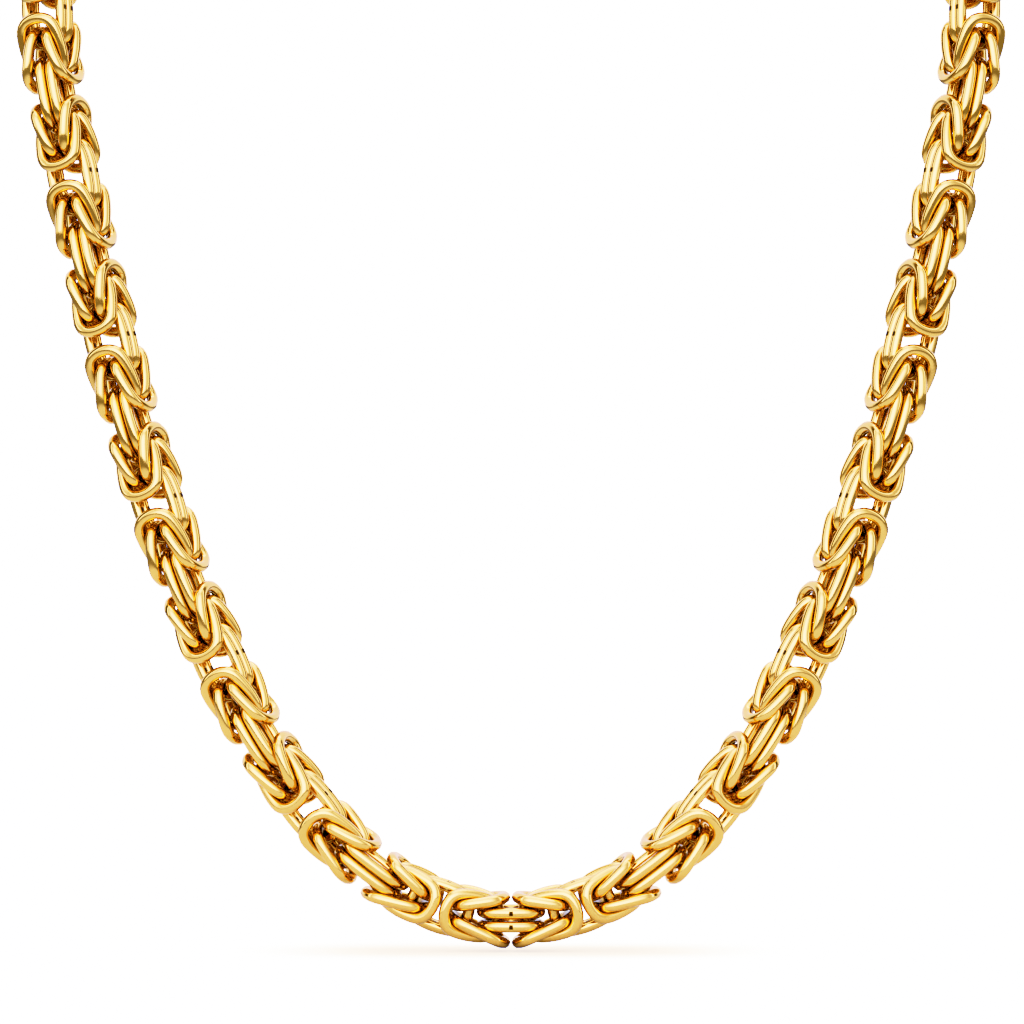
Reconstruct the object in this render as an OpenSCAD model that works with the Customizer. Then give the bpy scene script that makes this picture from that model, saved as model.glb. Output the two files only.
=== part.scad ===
// Byzantine chain necklace: pairs of long connector links, and between each two pairs a knot of
// four links. Two links of a knot hook the pair below and two hook the pair above; the free ends
// of each two are folded back and spread around the others.
// X runs across the neck, -Y faces forward and Z is up. The origin is at the nape, on the inner
// side of the clasp.

/* [Wire and weave] */
// Thickness of the wire of every link
wire_d = 1.48; // [1.3:0.02:1.48]
// Distance along the chain from one pair of connectors to the next
pitch = 12.3; // [12.3:0.1:12.6]

/* [Connector links] */
// Length of a connector, between wire centres
connector_l = 10.46; // [10.36:0.02:10.5]
// Width of a connector, between wire centres
connector_w = 6.36; // [6.3:0.02:6.44]
// Distance between the two wires of a pair, centre to centre
pair_gap = 1.65; // [1.6:0.01:1.7]
// Length that the weave is pushed together at each end of the three lowest pairs
squeeze = 0.96; // [0:0.02:0.96]

/* [Knot links] */
// Width of a knot link, between wire centres
knot_w = 7.14; // [7.1:0.02:7.2]
// How far inside a connector's end the hooked end of a knot link lies, between wire centres
hook_depth = 2.37; // [2.3:0.01:2.4]
// Distance between the hooked ends of two knot links, centre to centre
hooked_gap = 1.64; // [1.6:0.02:1.7]
// Distance between the spread ends of two knot links, centre to centre
spread_gap = 6.8; // [6.7:0.02:6.9]
// Distance from the middle of a pair back to the spread ends of the next knot
spread_reach = 1.53; // [1.53:0.01:1.56]

/* [Play in a bend] */
// Extra spread for each radian of bend in the plane of the spread
spread_play = 2.05; // [1.8:0.05:2.3]
// Extra depth of the hooked end for each radian of bend in the plane of the spread
hook_play = 0.33; // [0.25:0.01:0.45]
// Extra depth of the hooked end for each radian of bend across the spread
cross_play = 0.37; // [0.3:0.01:0.5]
// Shift of the hooked end to the outside of a bend across the spread, for each radian
outer_shift = 1.4; // [1.1:0.05:1.6]

/* [Hang of the necklace] */
// Radius of the curve at the lowest point
sag = 28; // [27.5:0.5:34]
// How far the front leans back, in degrees
lean = 6; // [0:1:12]
// Roll of the chain about its own line at the lowest point, in degrees
roll_front = 7; // [4:1:12]
// Roll of the even pairs on the sides of the neck, in degrees
roll_even = 20; // [19:1:25]
// Roll of the odd pairs there, in degrees
roll_odd = 31; // [25:1:32]
// Roll of the chain at the nape, in degrees
roll_nape = 20; // [15:1:30]
// Number of pairs over which the roll grows to that of the sides
roll_pairs = 4.5; // [4:0.5:8]
// Lean of the chain's plane at the nape, in degrees
nape_lean = 55; // [50:1:56]
// Length from the lowest point to where the chain turns in behind the neck
turn_start = 153; // [150:1:155]

/* [Clasp] */
// Diameter of the barrel
barrel_d = 8.4; // [7.6:0.2:9]
// Wire thickness of the barrel's two end loops
loop_wire_d = 1.6; // [1.4:0.1:1.6]
// Width of an end loop, between wire centres
loop_w = 5.4; // [5.2:0.1:5.6]

/* [Hidden] */
$fn = 24;

gold = [0.93, 0.71, 0.27];
clasp_gold = [0.90, 0.67, 0.24];

// Curve of the necklace
last = 20;             // pairs on each side of the lowest pair, an even number
nape_half_run = 16.4;  // length left for half the clasp past the last pair
turn_power = 0.81;     // how evenly the chain turns towards the nape
lean_share = 0.98;     // part of the hidden stretch over which it leans back
reach_share = 0.75;    // part of the squeeze by which the spread ends move together

// Clasp
barrel_round = 2;      // rounding of the barrel's rims
barrel_gap = 0.6;      // room between the last connectors and the barrel
rib_d = 8.8;           // the two rims that frame the barrel
rib_w = 1.2;

function ramp(x) = let (t = min(1, max(0, x))) t*t*(3 - 2*t);

// Length along the chain from the lowest pair to pair k
function run(k) = k*pitch - squeeze*min(3, 2*k);
full_run = run(last) + nape_half_run;

// Share of the hidden stretch that lies behind pair k
function past(k) = max(0, (run(k) - turn_start)/(full_run - turn_start));

// Climb of the chain's line at pair k: a catenary, then a turn to the level at the nape
function climb(k) = let (c = atan2(run(k), sag)) c + (180 - c)*pow(past(k), turn_power);
function plane_lean(k) = lean + (nape_lean - lean)*ramp(past(k)/lean_share);
function side_roll(k) = k%2 == 0 ? roll_even : roll_odd;
function roll(k) =
    roll_front
    + (side_roll(k) - roll_front)*ramp(k/roll_pairs)
    + (roll_nape - side_roll(k))*ramp(past(k));

// The plane of the chain at pair k: its upward line and the normal that faces forward
function upward(k) = [0, sin(plane_lean(k)), cos(plane_lean(k))];
function forward(k) = [0, -cos(plane_lean(k)), sin(plane_lean(k))];

// The chain's own axes at pair k: its line, its front and its inner side
function along(k) = cos(climb(k))*[1, 0, 0] + sin(climb(k))*upward(k);
function inward(k) = -sin(climb(k))*[1, 0, 0] + cos(climb(k))*upward(k);
function front(k) = cos(roll(k))*forward(k) - sin(roll(k))*inward(k);
function side(k) = cos(roll(k))*inward(k) + sin(roll(k))*forward(k);

// Middle of pair k, counted from the lowest pair
function middle(k) =
    k == 0
    ? [0, 0, 0]
    : middle(k - 1) + (run(k) - run(k - 1))/2*(along(k - 1) + along(k));

// Even pairs lie across the front and odd ones across the side
function wide(k) = k%2 == 0 ? front(k) : side(k);
function apart(k) = k%2 == 0 ? side(k) : front(k);

// The three lowest pairs are pushed together
function half_link(k) = connector_l/2 - (k <= 1 ? squeeze : 0);
function reach(k) = spread_reach - (k <= 1 ? reach_share*squeeze : 0);

function unit(v) = v/norm(v);
function trim(x) = round(x*1000)/1000;

// Where the barrel of the clasp lies, and its inner side, which is the origin
loop_hook = middle(last) + (half_link(last) - hook_depth)*along(last);
barrel_reach = half_link(last) + wire_d/2 + barrel_gap;
barrel_end = middle(last) + barrel_reach*along(last);
barrel_axis = [0, barrel_end[1], barrel_end[2]];
barrel_l = trim(2*barrel_end[0]);
origin = barrel_axis - [0, barrel_d/2, 0];

// Puts a shape drawn in the XY plane at a point, with its X and Y along two directions
module placed(at, x, y) {
    z = cross(x, y);
    multmatrix([
        [x[0], y[0], z[0], at[0]],
        [x[1], y[1], z[1], at[1]],
        [x[2], y[2], z[2], at[2]]
    ])
        children();
}

// One link: two half rings joined by two straight wires, lengthwise along X
module link(half_l, half_w) {
    straight = trim(half_l - half_w);
    bend_r = trim(half_w);
    for (turn = [0, 180])
        rotate([0, 0, turn]) {
            translate([straight, 0, 0])
                rotate_extrude(start = -90, angle = 180)
                    translate([bend_r, 0])
                        circle(d = wire_d);
            translate([-straight, bend_r, 0])
                rotate([0, 90, 0])
                    cylinder(d = wire_d, h = 2*straight);
        }
}

// The two connectors of pair k
module pair(k)
    for (s = [-1, 1])
        placed(middle(k) + s*pair_gap/2*apart(k), along(k), wide(k))
            link(half_link(k), connector_w/2);

// The two knot links that hook pair a and spread towards its neighbour b
module hooked_links(a, b) {
    way = b > a ? 1 : -1;
    turn = way*(along(b) - along(a));
    cross_bend = turn*(apart(a) + wide(b))/2;
    for (s = [-1, 1]) {
        bend = s*turn*(wide(a) + apart(b))/2;
        depth = hook_depth + hook_play*abs(bend) + cross_play*abs(cross_bend);
        hooked = middle(a)
            + way*(half_link(a) - depth)*along(a)
            + s*hooked_gap/2*wide(a)
            - outer_shift*cross_bend*apart(a);
        spread = middle(b)
            - way*reach(b)*along(b)
            + s*(spread_gap/2 + spread_play*abs(bend))*apart(b);
        x = unit(spread - hooked);
        across = apart(a) + wide(b);
        placed((hooked + spread)/2, x, unit(across - (across*x)*x))
            link(norm(spread - hooked)/2, knot_w/2);
    }
}

// One side of the chain, from the pair first to the nape
module strand(first) {
    for (k = [first:last])
        pair(k);
    for (k = [0:last - 1]) {
        hooked_links(k, k + 1);
        hooked_links(k + 1, k);
    }
}

module chain_right()
    color(gold)
        translate(-origin)
            strand(0);

module chain_left()
    color(gold)
        translate(-origin)
            mirror([1, 0, 0])
                strand(1);

// A loop that passes through both connectors of the last pair and ends inside the barrel
module end_loop() {
    loop_r = loop_w/2;
    leg_inside = barrel_d/2;
    leg_l = trim(barrel_reach - half_link(last) + hook_depth - loop_r + leg_inside);
    placed(loop_hook + loop_r*along(last), -along(last), side(last)) {
        rotate_extrude(start = -90, angle = 180)
            translate([loop_r, 0])
                circle(d = loop_wire_d);
        for (s = [-1, 1])
            translate([-leg_l, s*loop_r, 0])
                rotate([0, 90, 0])
                    cylinder(d = loop_wire_d, h = leg_l);
    }
}

// A round barrel with rounded rims, turned about X
module barrel() {
    half_l = barrel_l/2;
    r = barrel_d/2;
    rotate([0, 90, 0])
        rotate_extrude() {
            translate([0, -half_l])
                square([r - barrel_round, barrel_l]);
            translate([0, -half_l + barrel_round])
                square([r, barrel_l - 2*barrel_round]);
            for (y = [-1, 1])
                translate([r - barrel_round, y*(half_l - barrel_round)])
                    intersection() {
                        circle(r = barrel_round);
                        translate([0, y > 0 ? 0 : -barrel_round])
                            square(barrel_round);
                    }
        }
    for (x = [-1, 1])
        translate([x*(half_l - barrel_round - rib_w), 0, 0])
            rotate([0, 90, 0])
                cylinder(d = rib_d, h = rib_w, center = true);
}

module clasp()
    color(clasp_gold)
        translate(-origin) {
            translate(barrel_axis)
                barrel();
            end_loop();
            mirror([1, 0, 0])
                end_loop();
        }

chain_left();
chain_right();
clasp();
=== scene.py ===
import math

import bpy
from mathutils import Matrix, Vector


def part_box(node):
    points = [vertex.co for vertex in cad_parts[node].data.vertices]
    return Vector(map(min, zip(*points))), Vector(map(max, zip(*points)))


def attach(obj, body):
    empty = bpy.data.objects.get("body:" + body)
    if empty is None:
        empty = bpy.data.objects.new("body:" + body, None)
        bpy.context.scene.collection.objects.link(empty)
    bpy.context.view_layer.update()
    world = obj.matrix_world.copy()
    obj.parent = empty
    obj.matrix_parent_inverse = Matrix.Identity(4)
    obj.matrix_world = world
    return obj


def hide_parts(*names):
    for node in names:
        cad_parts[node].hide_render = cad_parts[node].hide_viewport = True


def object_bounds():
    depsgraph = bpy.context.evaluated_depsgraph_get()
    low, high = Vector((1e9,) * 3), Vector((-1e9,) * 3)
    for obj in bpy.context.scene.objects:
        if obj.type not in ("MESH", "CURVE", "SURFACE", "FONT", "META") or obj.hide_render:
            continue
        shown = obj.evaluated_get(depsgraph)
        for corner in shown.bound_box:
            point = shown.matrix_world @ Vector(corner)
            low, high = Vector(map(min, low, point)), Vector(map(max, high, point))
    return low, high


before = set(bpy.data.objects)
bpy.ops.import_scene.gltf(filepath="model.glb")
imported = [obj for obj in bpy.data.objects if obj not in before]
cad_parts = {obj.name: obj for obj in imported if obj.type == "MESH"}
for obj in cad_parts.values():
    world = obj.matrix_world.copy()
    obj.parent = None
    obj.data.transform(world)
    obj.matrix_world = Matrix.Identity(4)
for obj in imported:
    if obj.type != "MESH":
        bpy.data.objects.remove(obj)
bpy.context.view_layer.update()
mm = 0.001
print("frame loaded:", sorted(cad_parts))


# Nodes and colours
def addNode(tree, kind, inputs=None, **settings):
    node = tree.nodes.new(kind)
    for name, value in settings.items():
        setattr(node, name, value)
    for name, value in (inputs or {}).items():
        if isinstance(value, bpy.types.NodeSocket):
            tree.links.new(value, node.inputs[name])
        else:
            node.inputs[name].default_value = value
    return node


def hexColour(text):
    channels = [int(text[i:i + 2], 16) / 255 for i in (1, 3, 5)]
    return [c / 12.92 if c <= 0.04045 else ((c + 0.055) / 1.055) ** 2.4 for c in channels] + [1.0]


# How the necklace hangs, by the same law as the solids, in mm and degrees
hang = {
    "pitch": 12.3,             # along the chain, from one pair of connectors to the next
    "squeeze": 0.96,           # the three lowest pairs are pushed together by this at each end
    "lastPair": 20,
    "sag": 28.0,               # radius of the curve at the lowest point
    "lean": 6.0,               # how far the front leans back
    "rollFront": 7.0,          # roll about the chain's own line at the lowest point
    "rollEven": 20.0,          # the same on the sides of the neck, for even pairs
    "rollOdd": 31.0,           # and for odd pairs
    "rollNape": 20.0,          # and at the nape
    "rollPairs": 4.5,
    "napeLean": 55.0,
    "leanShare": 0.98,
    "turnStart": 153.0,        # where the chain turns in behind the neck
    "turnPower": 0.81,
    "napeHalfRun": 16.4,
    "barrelReach": 6.57,       # from the middle of the last pair to the barrel of the clasp
}


def ramp(x):
    t = min(1.0, max(0.0, x))
    return t * t * (3 - 2 * t)


def runTo(k):
    return k * hang["pitch"] - hang["squeeze"] * min(3, 2 * k)


# The chain's own axes at pair k: its line, its front and its inner side
def axesAt(k):
    fullRun = runTo(hang["lastPair"]) + hang["napeHalfRun"]
    past = max(0.0, (runTo(k) - hang["turnStart"]) / (fullRun - hang["turnStart"]))
    climb = math.atan2(runTo(k), hang["sag"])
    climb += (math.pi - climb) * past ** hang["turnPower"]
    lean = hang["lean"] + (hang["napeLean"] - hang["lean"]) * ramp(past / hang["leanShare"])
    rollSide = hang["rollOdd"] if k % 2 else hang["rollEven"]
    roll = hang["rollFront"] + (rollSide - hang["rollFront"]) * ramp(k / hang["rollPairs"])
    roll += (hang["rollNape"] - rollSide) * ramp(past)
    lean, roll = math.radians(lean), math.radians(roll)
    across = Vector((1, 0, 0))
    upward = Vector((0, math.sin(lean), math.cos(lean)))
    forward = Vector((0, -math.cos(lean), math.sin(lean)))
    inward = math.cos(climb) * upward - math.sin(climb) * across
    return {
        "along": math.cos(climb) * across + math.sin(climb) * upward,
        "front": math.cos(roll) * forward - math.sin(roll) * inward,
        "side": math.cos(roll) * inward + math.sin(roll) * forward,
    }


# Each pair's middle and axes: even pairs lie across the front, odd ones across the side
def hangPairs():
    pairs = []
    for k in range(hang["lastPair"] + 1):
        pair = axesAt(k)
        wide, apart = ("front", "side") if k % 2 == 0 else ("side", "front")
        pair.update(k=k, wide=pair[wide], apart=pair[apart], middle=Vector((0, 0, 0)))
        if pairs:
            before = pairs[-1]
            step = (runTo(k) - runTo(k - 1)) / 2
            pair["middle"] = before["middle"] + step * (before["along"] + pair["along"])
        pairs.append(pair)
    low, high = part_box("clasp")
    clasp = (low + high) / 2 / mm
    barrelEnd = pairs[-1]["middle"] + hang["barrelReach"] * pairs[-1]["along"]
    place = clasp - Vector((0, barrelEnd.y, barrelEnd.z))
    for pair in pairs:
        pair["middle"] = pair["middle"] + place
    return pairs


# The links, in mm between wire centres. A knot link is a face link, which the front view sees flat,
# where it hooks an even pair, and an edge link, which it sees on edge, where it hooks an odd one.
linkKinds = ["connector", "face", "edge"]
wire = {
    "thickness": 1.68,
    "sides": 10,
    "arcSteps": 4,             # points along each of a link's eight arcs
}
connector = {
    "halfLength": 5.07,
    "halfWidth": 3.00,
    "evenNarrower": 0.97,      # on the even pairs, which the front view sees on edge
    "cornerRadius": 2.57,
    "endRadius": 4.59,
    "sideRadius": 21.15,
    "gap": 1.70,               # between the two connectors of a pair
    "lowestGap": 1.93,         # and of the lowest pair
}
knot = {
    "halfLength": 3.80,        # stretched from link to link to the room that it has
    "faceHalfWidth": 2.91,
    "edgeHalfWidth": 3.31,
    "cornerRadius": 2.00,
    "endRadius": 4.09,
    "sideRadius": 11.82,
    "hookDepth": 2.10,         # from a connector's end back to the hooked wire
    "hookedGap": 1.70,         # between the hooked wires of two links
    "faceSpreadGap": 6.41,     # and between their spread wires
    "edgeSpreadGap": 5.65,
    "spreadReach": 1.50,       # from the middle of a pair back to the spread wires
    "lowReach": 0.90,          # the same at the three lowest pairs
    "playOutside": 1.64,       # from here on for each radian of bend: more spread outside it
    "playInside": 0.60,        # more spread inside it
    "playHooked": 0.155,       # more room between the hooked wires
    "playDepth": 0.18,         # a deeper hook, for a bend in the plane of the spread
    "playDepthAcross": 0.32,   # and for a bend across that plane
    "shiftHooked": -0.81,      # a shift of the hooked wire across that plane
    "shiftSpread": 0.16,       # and of the spread wire
}


# One link's centre line: arcs of three radii for its ends, corners and sides, each meeting the
# next at one tangent. Returns points in mm, lengthwise along X.
def linkOutline(size):
    steps = wire["arcSteps"]
    endX = size["halfLength"] - size["endRadius"]
    sideY = size["halfWidth"] - size["sideRadius"]
    fromEnd = size["endRadius"] - size["cornerRadius"]
    fromSide = size["sideRadius"] - size["cornerRadius"]
    apart = math.hypot(endX, sideY)
    share = (fromEnd ** 2 - fromSide ** 2 + apart ** 2) / (2 * apart)
    rise = math.sqrt(fromEnd ** 2 - share ** 2)
    ux, uy = -endX / apart, sideY / apart
    cornerX = endX + ux * share - uy * rise
    cornerY = uy * share + ux * rise
    endTurn = math.atan2(cornerY, cornerX - endX)
    sideTurn = math.atan2(cornerY - sideY, cornerX)
    arcs = [
        (endX, 0, size["endRadius"], 0, endTurn),
        (cornerX, cornerY, size["cornerRadius"], endTurn, sideTurn),
        (0, sideY, size["sideRadius"], sideTurn, math.pi / 2),
    ]
    quarter = []
    for x, y, radius, first, last in arcs:
        for i in range(steps):
            turn = first + (last - first) * i / steps
            quarter.append((x + radius * math.cos(turn), y + radius * math.sin(turn)))
    top = quarter + [(0, size["halfWidth"])] + [(-x, y) for x, y in reversed(quarter)]
    return top + [(x, -y) for x, y in reversed(top[1:-1])]


def hookedLinks(a, b):
    links = []
    way = 1 if b["k"] > a["k"] else -1
    bend = way * (b["along"] - a["along"])
    across = bend.dot(a["apart"] + b["wide"]) / 2
    kind = "edge" if a["k"] % 2 else "face"
    squeezed = hang["squeeze"] if a["k"] <= 1 else 0
    reach = knot["lowReach"] if b["k"] <= 1 else knot["spreadReach"]
    for s in (-1, 1):
        inside = s * bend.dot(a["wide"] + b["apart"]) / 2
        play = knot["playOutside"] * max(0, -inside) + knot["playInside"] * max(0, inside)
        depth = knot["hookDepth"] + knot["playDepth"] * abs(inside)
        depth += knot["playDepthAcross"] * abs(across)
        hooked = a["middle"] + way * (connector["halfLength"] - squeezed - depth) * a["along"]
        hooked += s * (knot["hookedGap"] / 2 + knot["playHooked"] * abs(inside)) * a["wide"]
        hooked += knot["shiftHooked"] * across * a["apart"]
        spread = b["middle"] - way * reach * b["along"]
        spread += s * (knot[kind + "SpreadGap"] / 2 + play) * b["apart"]
        spread += knot["shiftSpread"] * across * b["wide"]
        lengthwise = spread - hooked
        links.append({
            "kind": linkKinds.index(kind),
            "isMarked": False,
            "centre": (hooked + spread) / 2,
            "lengthwise": lengthwise.normalized(),
            "widthwise": a["apart"] + b["wide"],
            "stretch": (lengthwise.length / 2 / knot["halfLength"], 1, 1),
        })
    return links


def pairLinks(pair):
    squeezed = hang["squeeze"] if pair["k"] <= 1 else 0
    gap = connector["gap"] if pair["k"] else connector["lowestGap"]
    narrower = 1 if pair["k"] % 2 else connector["evenNarrower"]
    return [{
        "kind": linkKinds.index("connector"),
        "isMarked": pair["k"] == 0 or pair["k"] % 2 == 1,
        "centre": pair["middle"] + s * gap / 2 * pair["apart"],
        "lengthwise": pair["along"],
        "widthwise": pair["wide"],
        "stretch": (1 - squeezed / connector["halfLength"], narrower, 1),
    } for s in (-1, 1)]


def strandLinks(pairs, first):
    links = []
    for pair in pairs[first:]:
        links += pairLinks(pair)
    for a, b in zip(pairs, pairs[1:]):
        links += hookedLinks(a, b) + hookedLinks(b, a)
    return links


def addAttribute(mesh, name, kind, field, values):
    data = mesh.attributes.new(name, kind, "POINT").data
    for item, value in zip(data, values):
        setattr(item, field, value)


# One vertex for each link, with its turn, its stretch and its kind
def seedMesh(name, links, mirror):
    flip = Vector((-1 if mirror else 1, 1, 1))
    mesh = bpy.data.meshes.new(name)
    mesh.from_pydata([link["centre"] * flip * mm for link in links], [], [])
    turns, sides = [], []
    for link in links:
        x = link["lengthwise"] * flip
        y = link["widthwise"] * flip
        y = (y - y.dot(x) * x).normalized()
        sides.append(y)
        turns.append(Matrix((x, y, x.cross(y))).transposed().to_quaternion())
    addAttribute(mesh, "turn", "QUATERNION", "value", turns)
    addAttribute(mesh, "stretch", "FLOAT_VECTOR", "vector", [link["stretch"] for link in links])
    addAttribute(mesh, "sideways", "FLOAT_VECTOR", "vector", sides)
    addAttribute(mesh, "kind", "INT", "value", [link["kind"] for link in links])
    addAttribute(mesh, "isMarked", "FLOAT", "value", [float(link["isMarked"]) for link in links])
    addAttribute(mesh, "linkNumber", "FLOAT", "value", range(len(links)))
    return mesh


# A closed ring of edges, which knows how far along the link it is and how far from its solder
def outlineObject(name, size, soldered):
    points = linkOutline(size)
    mesh = bpy.data.meshes.new(name)
    edges = [(i, (i + 1) % len(points)) for i in range(len(points))]
    mesh.from_pydata([(x * mm, y * mm, 0) for x, y in points], edges, [])
    solder = [abs(x) if soldered else size["halfLength"] for x, y in points]
    addAttribute(mesh, "alongLink", "FLOAT", "value", [x for x, y in points])
    addAttribute(mesh, "fromSolder", "FLOAT", "value", solder)
    shape = bpy.data.objects.new(name, mesh)
    bpy.context.scene.collection.objects.link(shape)
    return shape


# Puts a ring of the right kind on every vertex and draws the wire round it
def wireLinksTree():
    tree = bpy.data.node_groups.new("wireLinks", "GeometryNodeTree")
    sockets = [
        ("Geometry", "Geometry"), ("Connector Outline", "Object"), ("Face Outline", "Object"),
        ("Edge Outline", "Object"), ("Wire Thickness", "Float"), ("Wire Sides", "Int"),
        ("Metal", "Material"),
    ]
    for name, kind in sockets:
        tree.interface.new_socket(name, in_out="INPUT", socket_type="NodeSocket" + kind)
    tree.interface.new_socket("Geometry", in_out="OUTPUT", socket_type="NodeSocketGeometry")
    given = addNode(tree, "NodeGroupInput")
    turn = addNode(
        tree, "GeometryNodeInputNamedAttribute", {"Name": "turn"}, data_type="QUATERNION")
    stretch = addNode(
        tree, "GeometryNodeInputNamedAttribute", {"Name": "stretch"}, data_type="FLOAT_VECTOR")
    kind = addNode(tree, "GeometryNodeInputNamedAttribute", {"Name": "kind"}, data_type="INT")
    rings = addNode(tree, "GeometryNodeJoinGeometry")
    for number, name in enumerate(("Connector Outline", "Face Outline", "Edge Outline")):
        # Sockets 2 and 3 of a comparison are its two whole numbers
        chosen = addNode(tree, "FunctionNodeCompare", data_type="INT", operation="EQUAL")
        tree.links.new(kind.outputs["Attribute"], chosen.inputs[2])
        chosen.inputs[3].default_value = number
        outline = addNode(tree, "GeometryNodeObjectInfo", {"Object": given.outputs[name]})
        ring = addNode(tree, "GeometryNodeMeshToCurve", {"Mesh": outline.outputs["Geometry"]})
        placed = addNode(tree, "GeometryNodeInstanceOnPoints", {
            "Points": given.outputs["Geometry"],
            "Selection": chosen.outputs["Result"],
            "Instance": ring.outputs["Curve"],
            "Rotation": turn.outputs["Attribute"],
            "Scale": stretch.outputs["Attribute"],
        })
        tree.links.new(placed.outputs["Instances"], rings.inputs["Geometry"])
    realized = addNode(
        tree, "GeometryNodeRealizeInstances", {"Geometry": rings.outputs["Geometry"]})
    radius = addNode(
        tree, "ShaderNodeMath", {0: given.outputs["Wire Thickness"], 1: 0.5}, operation="MULTIPLY")
    section = addNode(tree, "GeometryNodeCurvePrimitiveCircle", {
        "Resolution": given.outputs["Wire Sides"], "Radius": radius.outputs["Value"]})
    position = addNode(tree, "GeometryNodeInputPosition")
    marked = addNode(tree, "GeometryNodeStoreNamedAttribute", {
        "Geometry": section.outputs["Curve"],
        "Name": "aroundWire",
        "Value": position.outputs["Position"],
    }, data_type="FLOAT_VECTOR", domain="POINT")
    drawn = addNode(tree, "GeometryNodeCurveToMesh", {
        "Curve": realized.outputs["Geometry"], "Profile Curve": marked.outputs["Geometry"]})
    smooth = addNode(tree, "GeometryNodeSetShadeSmooth", {"Geometry": drawn.outputs["Mesh"]})
    finished = addNode(tree, "GeometryNodeSetMaterial", {
        "Geometry": smooth.outputs["Geometry"], "Material": given.outputs["Metal"]})
    addNode(tree, "NodeGroupOutput", {"Geometry": finished.outputs["Geometry"]})
    return tree


# Polished yellow gold wire: a bright warm metal with soft streaks from drawing along each wire,
# painted shade of deep brown in the recesses where other wires crowd close, and a small dark solder
# mark in the middle of each long side of the connectors of the odd pairs and of the lowest pair
goldWire = {
    "colour": "#F8C56E",
    "roughness": 0.12,
    "streakWidth": 0.16,       # mm round the wire
    "streakLength": 5.0,       # mm along the wire
    "streakDepth": 0.003,      # mm
    "streakStrength": 0.5,
    "streakShift": 7.3,        # moves the streaks on from link to link, so that no two are alike
    # Painted shade: deep brown mixed into the gold where other wires are near
    "paintedShadeColour": "#6E4310",
    "paintedShadeReach": 2.2,        # mm, how near other wires must be to paint shade on it
    "paintedShadeFull": 0.08,        # openness at which the painted shade is full brown
    "paintedShadeNone": 0.55,        # and at which there is no painted shade
    "paintedShadeSamples": 6,
    "solderColour": "#2E1905",
    "solderHalfLength": 0.32,  # mm along the wire
    "solderBlur": 0.08,        # mm by which the mark's ends fade
    "solderFacing": 0.93,      # how far round the wire it reaches, as a cosine
    "solderFade": 0.03,        # where it starts to show, below that cosine
    "solderFull": 0.01,        # and where it shows fully, above it
}


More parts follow.
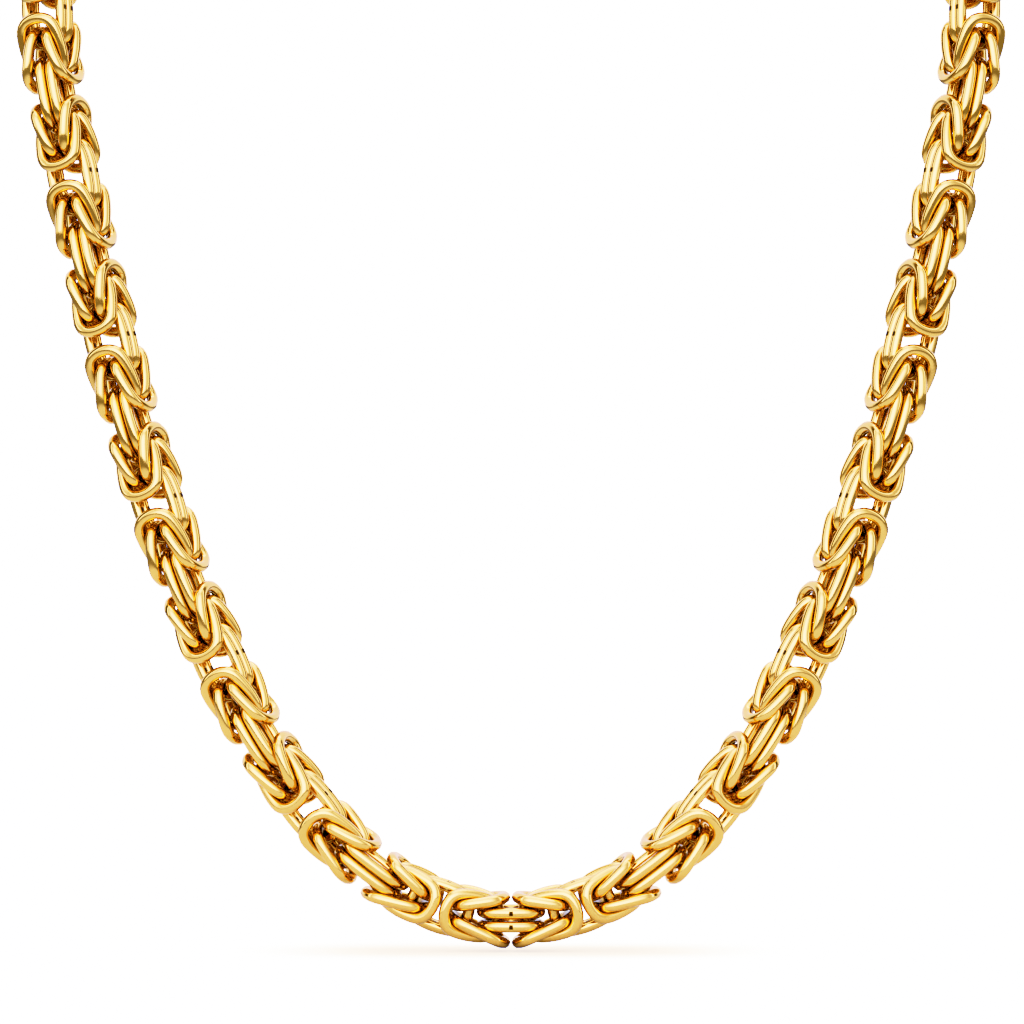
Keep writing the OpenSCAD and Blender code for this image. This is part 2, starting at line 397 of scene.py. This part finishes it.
def goldWireMaterial():
    material = bpy.data.materials.new("polished drawn gold wire")
    material.use_nodes = True
    tree = material.node_tree
    tree.nodes.clear()
    around = addNode(tree, "ShaderNodeAttribute", attribute_name="aroundWire")
    along = addNode(tree, "ShaderNodeAttribute", attribute_name="alongLink")
    number = addNode(tree, "ShaderNodeAttribute", attribute_name="linkNumber")
    stretched = addNode(tree, "ShaderNodeVectorMath", {
        0: around.outputs["Vector"],
        1: [1 / mm / goldWire["streakWidth"]] * 3,
    }, operation="MULTIPLY")
    lengthwise = addNode(tree, "ShaderNodeMath", {
        0: along.outputs["Fac"], 1: 1 / goldWire["streakLength"]}, operation="MULTIPLY")
    offset = addNode(tree, "ShaderNodeMath", {
        0: number.outputs["Fac"],
        1: goldWire["streakShift"],
        2: lengthwise.outputs["Value"],
    }, operation="MULTIPLY_ADD")
    lift = addNode(tree, "ShaderNodeCombineXYZ", {"Z": offset.outputs["Value"]})
    place = addNode(tree, "ShaderNodeVectorMath", {
        0: stretched.outputs["Vector"], 1: lift.outputs["Vector"]})
    streaks = addNode(tree, "ShaderNodeTexNoise", {
        "Vector": place.outputs["Vector"], "Scale": 1.0, "Detail": 1.0})
    relief = addNode(tree, "ShaderNodeBump", {
        "Strength": goldWire["streakStrength"],
        "Distance": goldWire["streakDepth"] * mm,
        "Height": streaks.outputs["Fac"],
    })

    fromSolder = addNode(tree, "ShaderNodeAttribute", attribute_name="fromSolder")
    sideways = addNode(tree, "ShaderNodeAttribute", attribute_name="sideways")
    shape = addNode(tree, "ShaderNodeNewGeometry")
    towards = addNode(tree, "ShaderNodeVectorMath", {
        0: shape.outputs["Normal"], 1: sideways.outputs["Vector"]}, operation="DOT_PRODUCT")
    facing = addNode(tree, "ShaderNodeMath", {0: towards.outputs["Value"]}, operation="ABSOLUTE")
    aroundIt = addNode(tree, "ShaderNodeMapRange", {
        "Value": facing.outputs["Value"],
        "From Min": goldWire["solderFacing"] - goldWire["solderFade"],
        "From Max": goldWire["solderFacing"] + goldWire["solderFull"],
    }, interpolation_type="SMOOTHSTEP")
    near = addNode(tree, "ShaderNodeMapRange", {
        "Value": fromSolder.outputs["Fac"],
        "From Min": goldWire["solderHalfLength"] + goldWire["solderBlur"],
        "From Max": goldWire["solderHalfLength"] - goldWire["solderBlur"],
    }, interpolation_type="SMOOTHSTEP")
    marked = addNode(tree, "ShaderNodeAttribute", attribute_name="isMarked")
    patch = addNode(tree, "ShaderNodeMath", {
        0: aroundIt.outputs["Result"], 1: near.outputs["Result"]}, operation="MULTIPLY")
    mark = addNode(tree, "ShaderNodeMath", {
        0: patch.outputs["Value"], 1: marked.outputs["Fac"]}, operation="MULTIPLY")
    # Painted shade: ambient occlusion turns the base colour deep brown where other wires crowd
    # close
    openness = addNode(tree, "ShaderNodeAmbientOcclusion", {
        "Distance": goldWire["paintedShadeReach"] * mm}, samples=goldWire["paintedShadeSamples"])
    paintedShadeMix = addNode(tree, "ShaderNodeMapRange", {
        "Value": openness.outputs["AO"],
        "From Min": goldWire["paintedShadeFull"],
        "From Max": goldWire["paintedShadeNone"],
    }, interpolation_type="SMOOTHSTEP")
    # Sockets 6 and 7 of a colour mix are its two colours, and output 2 is the mixed one
    polished = addNode(tree, "ShaderNodeMix", {
        "Factor": paintedShadeMix.outputs["Result"]}, data_type="RGBA")
    polished.inputs[6].default_value = hexColour(goldWire["paintedShadeColour"])
    polished.inputs[7].default_value = hexColour(goldWire["colour"])
    colour = addNode(tree, "ShaderNodeMix", {
        "Factor": mark.outputs["Value"], 6: polished.outputs[2]}, data_type="RGBA")
    colour.inputs[7].default_value = hexColour(goldWire["solderColour"])
    metal = addNode(tree, "ShaderNodeBsdfPrincipled", {
        "Base Color": colour.outputs[2],
        "Metallic": 1.0,
        "Roughness": goldWire["roughness"],
        "Normal": relief.outputs["Normal"],
    })
    addNode(tree, "ShaderNodeOutputMaterial", {"Surface": metal.outputs["BSDF"]})
    return material


# One half of the chain, evaluated to a plain mesh that takes the place of its solids
def buildChain(name, node, links, mirror, tree, outlines, metal):
    mesh = seedMesh(name + "Seeds", links, mirror)
    seeds = bpy.data.objects.new(name + "Seeds", mesh)
    bpy.context.scene.collection.objects.link(seeds)
    weave = seeds.modifiers.new("weave", "NODES")
    weave.node_group = tree
    values = {
        "Connector Outline": outlines[0],
        "Face Outline": outlines[1],
        "Edge Outline": outlines[2],
        "Wire Thickness": wire["thickness"] * mm,
        "Wire Sides": wire["sides"],
        "Metal": metal,
    }
    for item in tree.interface.items_tree:
        if item.in_out == "INPUT" and item.name in values:
            weave[item.identifier] = values[item.name]
    bpy.context.view_layer.update()
    solid = bpy.data.meshes.new_from_object(
        seeds.evaluated_get(bpy.context.evaluated_depsgraph_get()))
    solid.name = name
    bpy.data.objects.remove(seeds)
    piece = bpy.data.objects.new(name, solid)
    bpy.context.scene.collection.objects.link(piece)
    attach(piece, "root")
    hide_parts(node)
    print(name, len(links), "links,", len(solid.polygons), "faces")


pairs = hangPairs()
goldMetal = goldWireMaterial()
linkTree = wireLinksTree()
linkOutlines = [
    outlineObject("connectorOutline", connector, True),
    outlineObject("faceOutline", dict(knot, halfWidth=knot["faceHalfWidth"]), False),
    outlineObject("edgeOutline", dict(knot, halfWidth=knot["edgeHalfWidth"]), False),
]
rightLinks = strandLinks(pairs, 0)
leftLinks = strandLinks(pairs, 1)
buildChain("chainRight", "chain_right", rightLinks, False, linkTree, linkOutlines, goldMetal)
buildChain("chainLeft", "chain_left", leftLinks, True, linkTree, linkOutlines, goldMetal)
for outline in linkOutlines:
    bpy.data.objects.remove(outline)


# The clasp keeps its own solid. Polished gold tube: the same warm metal, less bright than the wire,
# so that it mirrors the lamps more softly
claspGold = {
    "colour": "#F8C56E",
    "roughness": 0.2,
}


def claspMaterial():
    material = bpy.data.materials.new("polished gold tube")
    material.use_nodes = True
    tree = material.node_tree
    metal = tree.nodes["Principled BSDF"]
    metal.inputs["Base Color"].default_value = hexColour(claspGold["colour"])
    metal.inputs["Metallic"].default_value = 1.0
    metal.inputs["Roughness"].default_value = claspGold["roughness"]
    return material


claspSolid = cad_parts["clasp"]
claspSolid.data.materials.clear()
claspSolid.data.materials.append(claspMaterial())


# Camera: level, in front of the necklace, with a long lens, as the photograph was taken
photo = {
    "distance": 800.0,         # mm
    "width": 145.9,            # mm across the picture at the lowest pair
    "height": 57.9,            # the picture's middle above the lowest pair
    "aside": 0.14,             # and to the right of it
    "filmWidth": 36.0,
    "clip": (0.05, 20.0),      # metres
}


def photoCamera():
    lowest = pairs[0]["middle"]
    data = bpy.data.cameras.new("photoCamera")
    data.sensor_width = photo["filmWidth"]
    data.lens = photo["filmWidth"] * photo["distance"] / photo["width"]
    data.clip_start, data.clip_end = photo["clip"]
    camera = bpy.data.objects.new("photoCamera", data)
    camera.location = Vector((
        lowest.x + photo["aside"], lowest.y - photo["distance"], lowest.z + photo["height"])) * mm
    camera.rotation_euler = (math.radians(90), 0, 0)
    bpy.context.scene.collection.objects.link(camera)
    bpy.context.scene.camera = camera


# Matt white floor just under the lowest links: it shows as the white backdrop, with a faint shadow
# under the chain, and the links mirror it bright near by and dark far off
floorLook = {
    "halfSize": 3000.0,        # mm
    "below": 0.5,              # mm under the lowest links
    "nearBy": 110.0,           # mm from the middle, up to which the links mirror it bright
    "farOff": 380.0,           # mm from the middle, from where they mirror it dark
    "nearWhite": 0.68,
    "farWhite": 0.2,
    "seenWhite": 0.9,          # the white that the camera sees
    "glow": 2.9,               # light added to it, to match the backdrop
    "shadowGlow": 0.8,         # the same in the deepest shadow
    "shadowReach": 20.0,       # mm
    "shadowDeep": 0.75,        # openness of the deepest shadow
}


def whiteFloor():
    size = floorLook["halfSize"] * mm
    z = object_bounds()[0].z - floorLook["below"] * mm
    mesh = bpy.data.meshes.new("floor")
    corners = [(x * size, y * size, z) for x, y in ((-1, -1), (1, -1), (1, 1), (-1, 1))]
    mesh.from_pydata(corners, [], [(0, 1, 2, 3)])
    floor = bpy.data.objects.new("floor", mesh)
    bpy.context.scene.collection.objects.link(floor)
    material = bpy.data.materials.new("matt white floor")
    material.use_nodes = True
    tree = material.node_tree
    tree.nodes.clear()
    seen = addNode(tree, "ShaderNodeLightPath")
    place = addNode(tree, "ShaderNodeTexCoord")
    flat = addNode(tree, "ShaderNodeVectorMath", {
        0: place.outputs["Object"], 1: (1, 1, 0)}, operation="MULTIPLY")
    away = addNode(tree, "ShaderNodeVectorMath", {0: flat.outputs["Vector"]}, operation="LENGTH")
    mirrored = addNode(tree, "ShaderNodeMapRange", {
        "Value": away.outputs["Value"],
        "From Min": floorLook["nearBy"] * mm,
        "From Max": floorLook["farOff"] * mm,
        "To Min": floorLook["nearWhite"],
        "To Max": floorLook["farWhite"],
    }, interpolation_type="SMOOTHSTEP")
    white = addNode(tree, "ShaderNodeMix", {
        0: seen.outputs["Is Camera Ray"], 2: mirrored.outputs["Result"], 3: floorLook["seenWhite"]})
    matt = addNode(tree, "ShaderNodeBsdfDiffuse", {"Color": white.outputs["Result"]})
    openness = addNode(
        tree, "ShaderNodeAmbientOcclusion", {"Distance": floorLook["shadowReach"] * mm})
    shaded = addNode(tree, "ShaderNodeMapRange", {
        "Value": openness.outputs["AO"],
        "From Min": floorLook["shadowDeep"],
        "From Max": 1.0,
        "To Min": floorLook["shadowGlow"],
        "To Max": floorLook["glow"],
    })
    lifted = addNode(tree, "ShaderNodeMath", {
        0: seen.outputs["Is Camera Ray"], 1: shaded.outputs["Result"]}, operation="MULTIPLY")
    glow = addNode(tree, "ShaderNodeEmission", {"Strength": lifted.outputs["Value"]})
    both = addNode(tree, "ShaderNodeAddShader", {
        0: matt.outputs["BSDF"], 1: glow.outputs["Emission"]})
    addNode(tree, "ShaderNodeOutputMaterial", {"Surface": both.outputs["Shader"]})
    mesh.materials.append(material)


# Soft white boxes round a dim room: azimuth from the front to the right, and height, in degrees
studio = {
    "roomBrightness": 0.03,
    "backBrightness": 1.2,     # the white background that the edges of each wire mirror
    "backFrom": (106.0, 125.0),
    "boxes": [                 # (azimuth, height, half width, half height, softness, brightness)
        (-10, 18, 34, 34, 29, 2.5),    # main light
        (0, 8, 84, 56, 10, 0.75),      # wide dim light round it
        (-78, 8, 6, 50, 5, 1.8),       # strip on the left
        (82, 8, 7, 50, 5, 1.8),        # strip on the right
        (0, 76, 180, 12, 8, 2.0),      # ring overhead
    ],
}

# The photograph's own tones: (brightness, how bright it shows) for each channel, set to this photo
tones = {
    "whiteLevel": 4.0,         # brightness that a picture shows as white
    "red": [
        (0.1, 0.1), (0.24, 0.215), (0.45, 0.42), (0.65, 0.62),
        (0.95, 0.84), (1.5, 0.94), (3.0, 0.99),
    ],
    "green": [
        (0.03, 0.021), (0.08, 0.058), (0.2, 0.16), (0.4, 0.4),
        (0.6, 0.64), (0.95, 0.8), (1.5, 0.9), (3.0, 0.985),
    ],
    "blue": [
        (0.03, 0.006), (0.06, 0.026), (0.13, 0.125), (0.26, 0.4),
        (0.56, 0.71), (1.0, 0.78), (1.6, 0.86), (3.0, 0.975),
    ],
}


# 1 inside a band of directions and 0 outside, with soft edges
def softBand(tree, angle, middle, half, softness):
    away = addNode(tree, "ShaderNodeMath", {0: angle, 1: middle}, operation="SUBTRACT")
    width = addNode(tree, "ShaderNodeMath", {0: away.outputs["Value"]}, operation="ABSOLUTE")
    band = addNode(tree, "ShaderNodeMapRange", {
        "Value": width.outputs["Value"],
        "From Min": half + softness,
        "From Max": half - softness,
    }, interpolation_type="SMOOTHSTEP")
    return band.outputs["Result"]


def studioLight():
    world = bpy.data.worlds.new("studio")
    bpy.context.scene.world = world
    world.use_nodes = True
    tree = world.node_tree
    tree.nodes.clear()
    place = addNode(tree, "ShaderNodeTexCoord")
    parts = addNode(tree, "ShaderNodeSeparateXYZ", {"Vector": place.outputs["Generated"]})
    toFront = addNode(
        tree, "ShaderNodeMath", {0: parts.outputs["Y"], 1: -1.0}, operation="MULTIPLY")
    turn = addNode(tree, "ShaderNodeMath", {
        0: parts.outputs["X"], 1: toFront.outputs["Value"]}, operation="ARCTAN2")
    azimuth = addNode(tree, "ShaderNodeMath", {0: turn.outputs["Value"]}, operation="DEGREES")
    tilt = addNode(tree, "ShaderNodeMath", {0: parts.outputs["Z"]}, operation="ARCSINE")
    height = addNode(tree, "ShaderNodeMath", {0: tilt.outputs["Value"]}, operation="DEGREES")
    sideways = addNode(tree, "ShaderNodeMath", {0: azimuth.outputs["Value"]}, operation="ABSOLUTE")
    back = addNode(tree, "ShaderNodeMapRange", {
        "Value": sideways.outputs["Value"],
        "From Min": studio["backFrom"][0],
        "From Max": studio["backFrom"][1],
        "To Min": studio["roomBrightness"],
        "To Max": studio["backBrightness"],
    }, interpolation_type="SMOOTHSTEP")
    total = back.outputs["Result"]
    for middle, rise, half, halfRise, softness, brightness in studio["boxes"]:
        across = softBand(tree, azimuth.outputs["Value"], middle, half, softness)
        up = softBand(tree, height.outputs["Value"], rise, halfRise, softness)
        both = addNode(tree, "ShaderNodeMath", {0: across, 1: up}, operation="MULTIPLY")
        added = addNode(tree, "ShaderNodeMath", {
            0: both.outputs["Value"], 1: brightness, 2: total}, operation="MULTIPLY_ADD")
        total = added.outputs["Value"]
    seen = addNode(tree, "ShaderNodeLightPath")
    light = addNode(tree, "ShaderNodeBackground", {"Strength": total})
    backdrop = addNode(tree, "ShaderNodeBackground", {"Strength": tones["whiteLevel"]})
    light.inputs["Color"].default_value = (1, 1, 1, 1)
    backdrop.inputs["Color"].default_value = (1, 1, 1, 1)
    chosen = addNode(tree, "ShaderNodeMixShader", {
        0: seen.outputs["Is Camera Ray"],
        1: light.outputs["Background"],
        2: backdrop.outputs["Background"],
    })
    addNode(tree, "ShaderNodeOutputWorld", {"Surface": chosen.outputs["Shader"]})


def photoTones():
    view = bpy.context.scene.view_settings
    view.view_transform = "Standard"
    view.use_curve_mapping = True
    view.curve_mapping.white_level = [tones["whiteLevel"]] * 3
    for curve, channel in zip(view.curve_mapping.curves, ("red", "green", "blue")):
        for brightness, shown in tones[channel]:
            curve.points.new(brightness / tones["whiteLevel"], shown)
    view.curve_mapping.update()


photoCamera()
whiteFloor()
studioLight()
photoTones()
print("camera, floor and light set")
